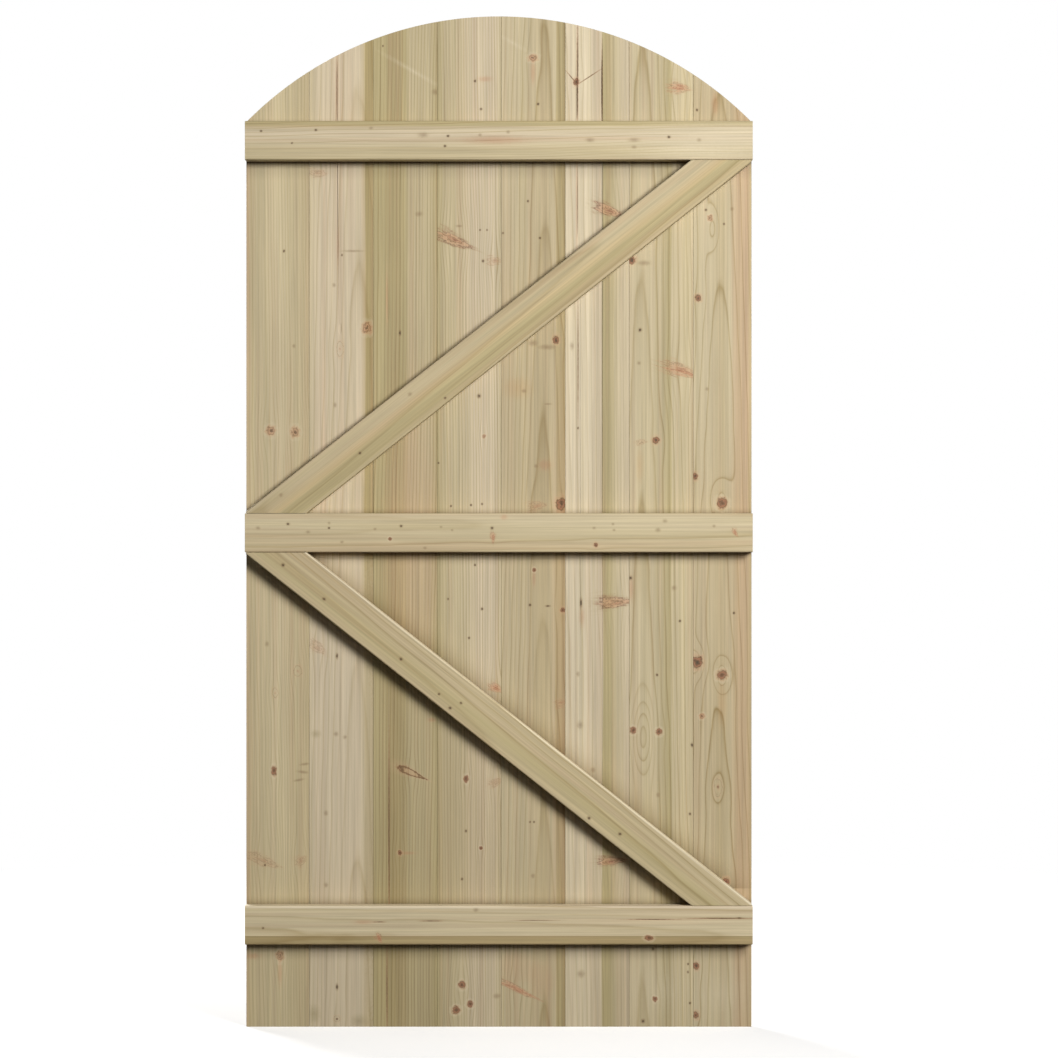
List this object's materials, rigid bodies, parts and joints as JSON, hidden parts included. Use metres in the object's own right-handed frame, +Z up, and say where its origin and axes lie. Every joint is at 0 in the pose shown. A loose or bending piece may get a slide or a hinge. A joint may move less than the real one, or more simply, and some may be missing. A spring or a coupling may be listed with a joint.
{
  "type": "arched tongue and groove gate",
  "caption": "Ledged and braced timber garden gate leaf with an arched top: vertical tongue and groove boards nailed to horizontal rails and diagonal braces.",
  "frame": {"origin": "middle of the gate's foot, half way through the whole thickness of boards and rails", "axes": "+Z up the gate to the crown of the arch, +X to the right when the rails face the viewer, -Y out of the rails' faces"},
  "size_m": [0.9, 0.051, 1.8],
  "materials": {
    "board_timber": "planed pressure-treated softwood, pale olive with brown knots",
    "rail_timber": "planed pressure-treated softwood, pale olive",
    "brace_timber": "planed pressure-treated softwood, pale olive",
    "nails": "dull galvanised"
  },
  "bodies": {
    "root": {"board_1": "board_timber", "board_2": "board_timber", "board_3": "board_timber", "board_4": "board_timber", "board_5": "board_timber", "board_6": "board_timber", "board_7": "board_timber", "board_8": "board_timber", "bottom_rail": "rail_timber", "middle_rail": "rail_timber", "top_rail": "rail_timber", "lower_brace": "brace_timber", "upper_brace": "brace_timber", "bottom_rail_nails": "nails", "middle_rail_nails": "nails", "top_rail_nails": "nails", "lower_brace_nails": "nails", "upper_brace_nails": "nails"}
  },
  "joints": []
}
